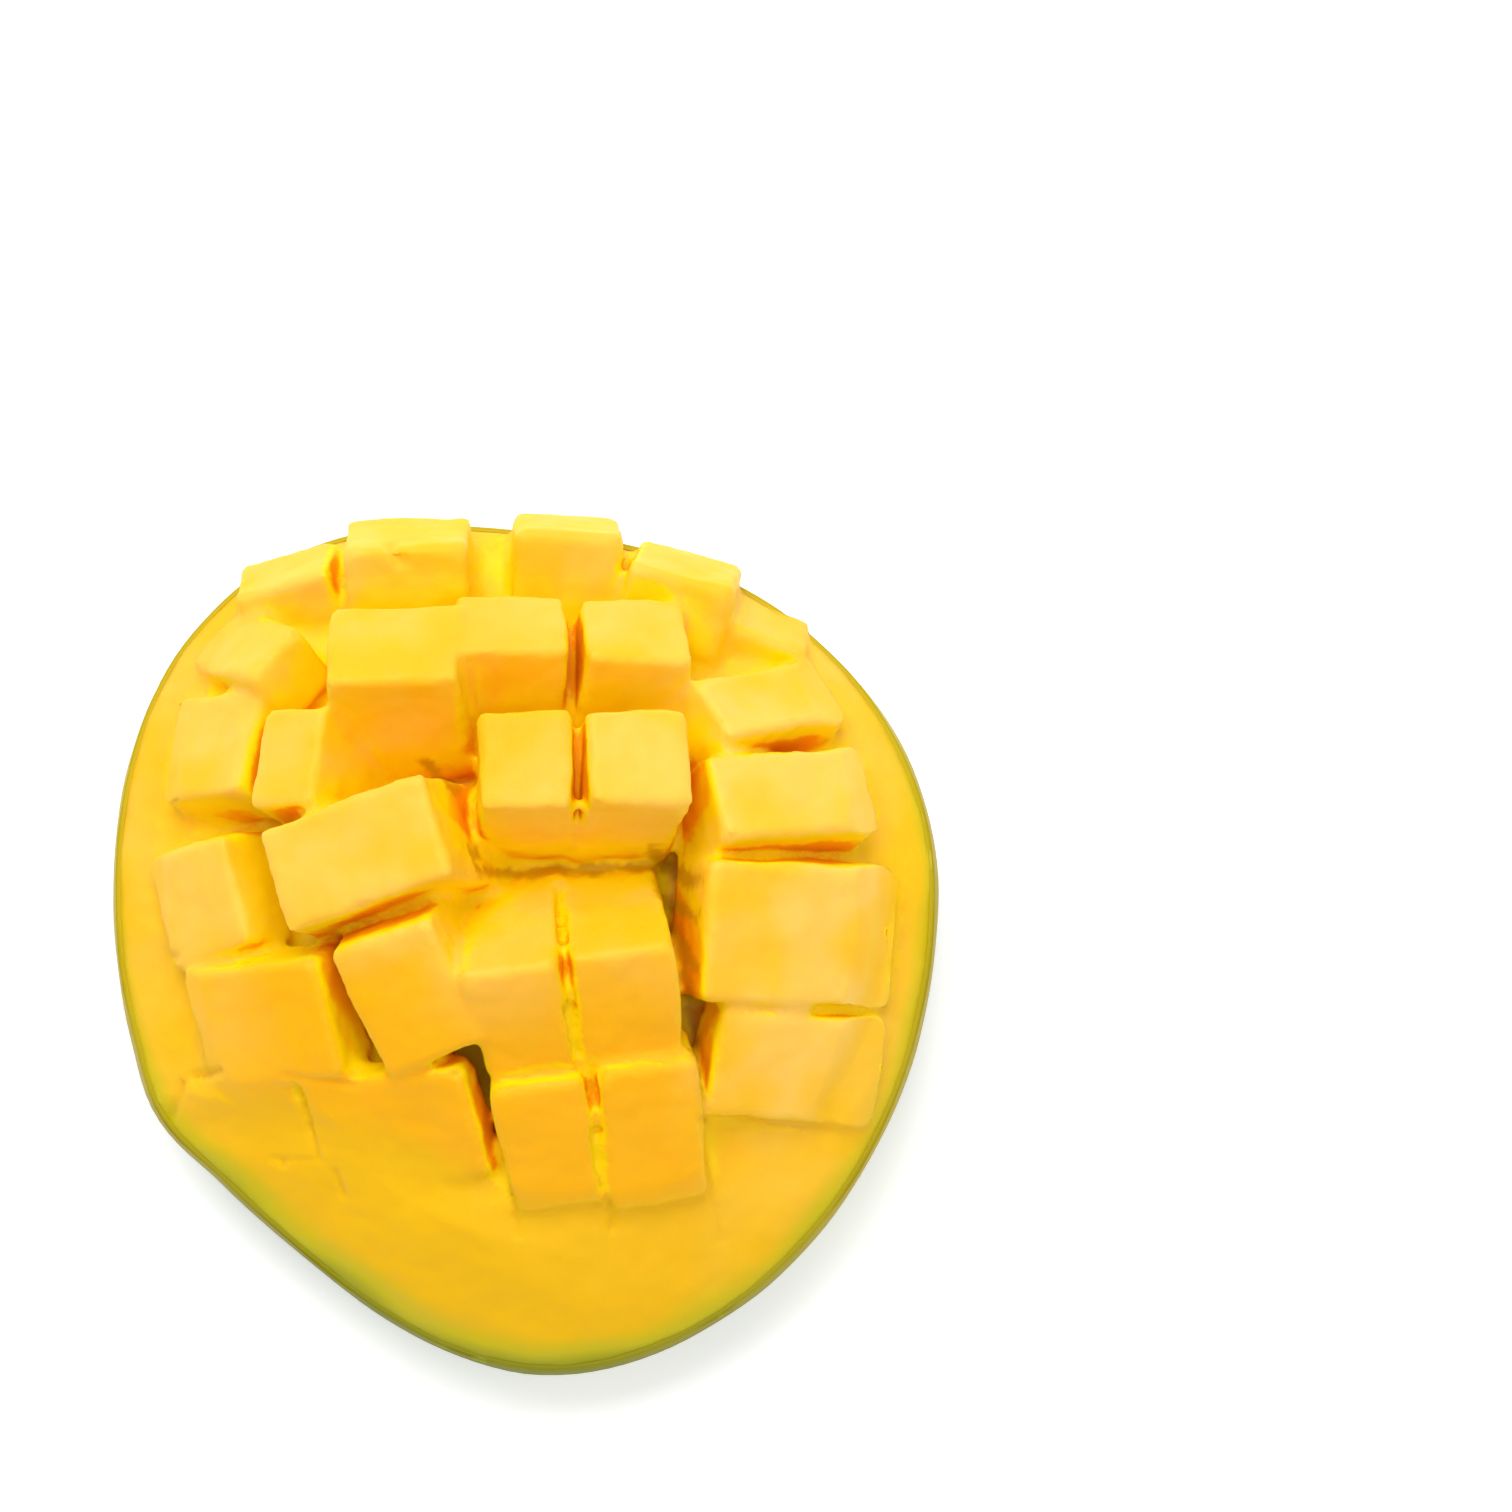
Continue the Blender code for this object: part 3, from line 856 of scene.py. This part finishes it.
    def depth(self, vert: bmesh.types.BMVert, above: float, tree: BVHTree) -> float:
        """How enclosed a point is by other flesh, 0 in the open: the painted shade that darkens the gaps and
        cuts.

        Args:
            vert: the point.
            above: its height over the uncut flesh, in millimetres.
            tree: the body's faces, for rays.

        Returns:
            The painted shade: about 0.6 on a cube's wall, 1 on a gap's floor and up to 1.6 in a narrow cut.
        """
        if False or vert.normal.z < -0.5 or self.covered(vert.co) > 0.5:
            return 0.0
        start = vert.co + vert.normal * 0.2 * MM
        side = vert.normal.orthogonal().normalized()
        other = vert.normal.cross(side)
        closed = 0.0
        for step in range(self.shade_rays):
            turn = 2 * math.pi * (step + 0.5 * (step % 2)) / self.shade_rays
            lean = self.shade_leans[step % 2]
            out = side * math.cos(turn) + other * math.sin(turn)
            way = vert.normal * math.cos(lean) + out * math.sin(lean)
            hit = tree.ray_cast(start, way, self.shade_reach * MM)
            if hit[0] is not None:
                closed += 1 - hit[3] / (self.shade_reach * MM)
        # steep sides count too: partly the deeper flesh's own orange, partly painted shade on the cubes'
        # sides
        wall = smooth_step(0.15, 0.7, 1 - vert.normal.z) * smooth_step(0.5, 2.5, above)
        return self.shade_gain * closed / self.shade_rays + self.wall_gain * wall


@dataclass
class Peel:
    """The peel: a thin closed shell round the side, under the edge and up into the hollow."""

    outline: Outline = field(default_factory=Outline)
    thickness: float = 0.8
    segments: int = 180
    lip: float = 0.008
    lip_sunk: float = 1.2
    lip_rings: int = 2
    side_rings: int = 20
    under_rings: int = 4
    roof_rings: int = 24

    def section(self, ring: int, bearing: float) -> tuple[float, float]:
        """The outer face's section: down the side, under the edge, and up the hollow's roof.

        Args:
            ring: the ring's number, from 1 at the cut edge to the last in the middle of the hollow.
            bearing: the bearing in radians.

        Returns:
            The share of the outline and the height.
        """
        if ring <= self.lip_rings:
            left = (self.lip_rings + 1 - ring) / self.lip_rings
            share = self.outline.flesh_edge - self.lip * left
            return share, self.outline.flesh_height(share, bearing) - self.lip_sunk * left
        if ring <= self.side_rings:
            down = (ring - self.lip_rings - 1) / (self.side_rings - self.lip_rings - 1)
            return self.outline.side(down, bearing)
        outer, inner = self.outline.ring_outer, self.outline.hollow_rim
        if ring <= self.side_rings + self.under_rings:
            return outer + (inner - outer) * (ring - self.side_rings) / self.under_rings, 0.0
        up = (ring - self.side_rings - self.under_rings) / self.roof_rings
        share = inner * math.cos(math.pi / 2 * up)
        return share, self.outline.hollow_height(share)

    def build(self) -> bpy.types.Object:
        """Makes the shell from a ball whose rings move to the section, open at the cut edge, then thickened.

        Returns:
            The peel's object.
        """
        rings = self.side_rings + self.under_rings + self.roof_rings
        shape = bmesh.new()
        bmesh.ops.create_uvsphere(shape, u_segments=self.segments, v_segments=rings, radius=1.0)
        edge_mark = shape.verts.layers.float.new(Mark.RIM.value)
        opening = []
        for vert in shape.verts:
            ring = round(rings * math.acos(max(-1.0, min(1.0, vert.co.z))) / math.pi)
            if ring == 0:
                opening.append(vert)
                continue
            bearing = math.atan2(vert.co.y, vert.co.x)
            share, height = self.section(ring, bearing)
            vert.co = self.outline.place(bearing, share, height)
            down = self.outline.down(height, bearing) if ring <= self.side_rings else 1.0
            yellow = 1 - self.outline.greenness(bearing)
            waver = 0.06 * noise.noise(vert.co * 90)
            fading = smooth_step(0.22 * yellow, 0.4 + 0.18 * yellow, down + waver)
            vert[edge_mark] = (0.65 + 0.35 * yellow) * (1 - fading)
        bmesh.ops.delete(shape, geom=opening, context="VERTS")
        shape.normal_update()
        for vert in shape.verts:
            vert.co += vert.normal * 0.12 * noise.noise(vert.co * 130) * MM
        mesh = bpy.data.meshes.new("mango_peel")
        keep_in_box(shape, Vector(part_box(NODE)[0]), Vector(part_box(NODE)[1]))
        shape.to_mesh(mesh)
        shape.free()
        peel = bpy.data.objects.new("mango_peel", mesh)
        bpy.context.scene.collection.objects.link(peel)
        wall = peel.modifiers.new("wall", "SOLIDIFY")
        wall.thickness, wall.offset = self.thickness * MM, -1.0
        mesh.materials.append(PeelFinish().material())
        return dressed(peel)


@dataclass
class Flesh:
    """The flesh: the whole body, drawn in a little where the peel covers it."""

    tuck: float = 0.45

    def build(self, maker: MangoBody) -> bpy.types.Object:
        """Makes the body, draws its covered side in under the peel and dresses it.

        Args:
            maker: the body's maker.

        Returns:
            The flesh's object.
        """
        body = maker.remeshed()
        maker.melt(body)
        maker.ease_creases(body)
        body.normal_update()
        bulges = maker.bulges(body)
        maker.work_over(body, bulges)
        maker.mark(body, bulges)
        for vert in body.verts:
            vert.co -= vert.normal * self.tuck * maker.covered(vert.co) * MM
        keep_in_box(body, Vector(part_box(NODE)[0]), Vector(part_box(NODE)[1]))
        mesh = bpy.data.meshes.new("mango_flesh")
        body.to_mesh(mesh)
        body.free()
        flesh = bpy.data.objects.new("mango_flesh", mesh)
        bpy.context.scene.collection.objects.link(flesh)
        mesh.materials.append(FleshFinish().material())
        return dressed(flesh)


def dressed(piece: bpy.types.Object) -> bpy.types.Object:
    """Shades a piece smooth, and has it ride on the body in place of the solid."""
    piece.data.shade_smooth()
    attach(piece, "root")
    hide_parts(NODE)
    return piece


def keep_in_box(shape: bmesh.types.BMesh, low: Vector, high: Vector) -> None:
    """Holds every point inside a box."""
    for vert in shape.verts:
        vert.co = Vector(max(a, min(b, c)) for a, b, c in zip(low, high, vert.co))


def main() -> None:
    """Builds the half and the studio round it."""
    logging.basicConfig(level=logging.INFO, format="%(name)s: %(message)s")
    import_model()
    Studio().build()
    log.info("studio ready")
    peel = Peel().build()
    log.info("peel: %d faces", len(peel.data.polygons))
    flesh = Flesh().build(MangoBody())
    log.info("flesh: %d faces", len(flesh.data.polygons))


if __name__ == "__main__":
    main()
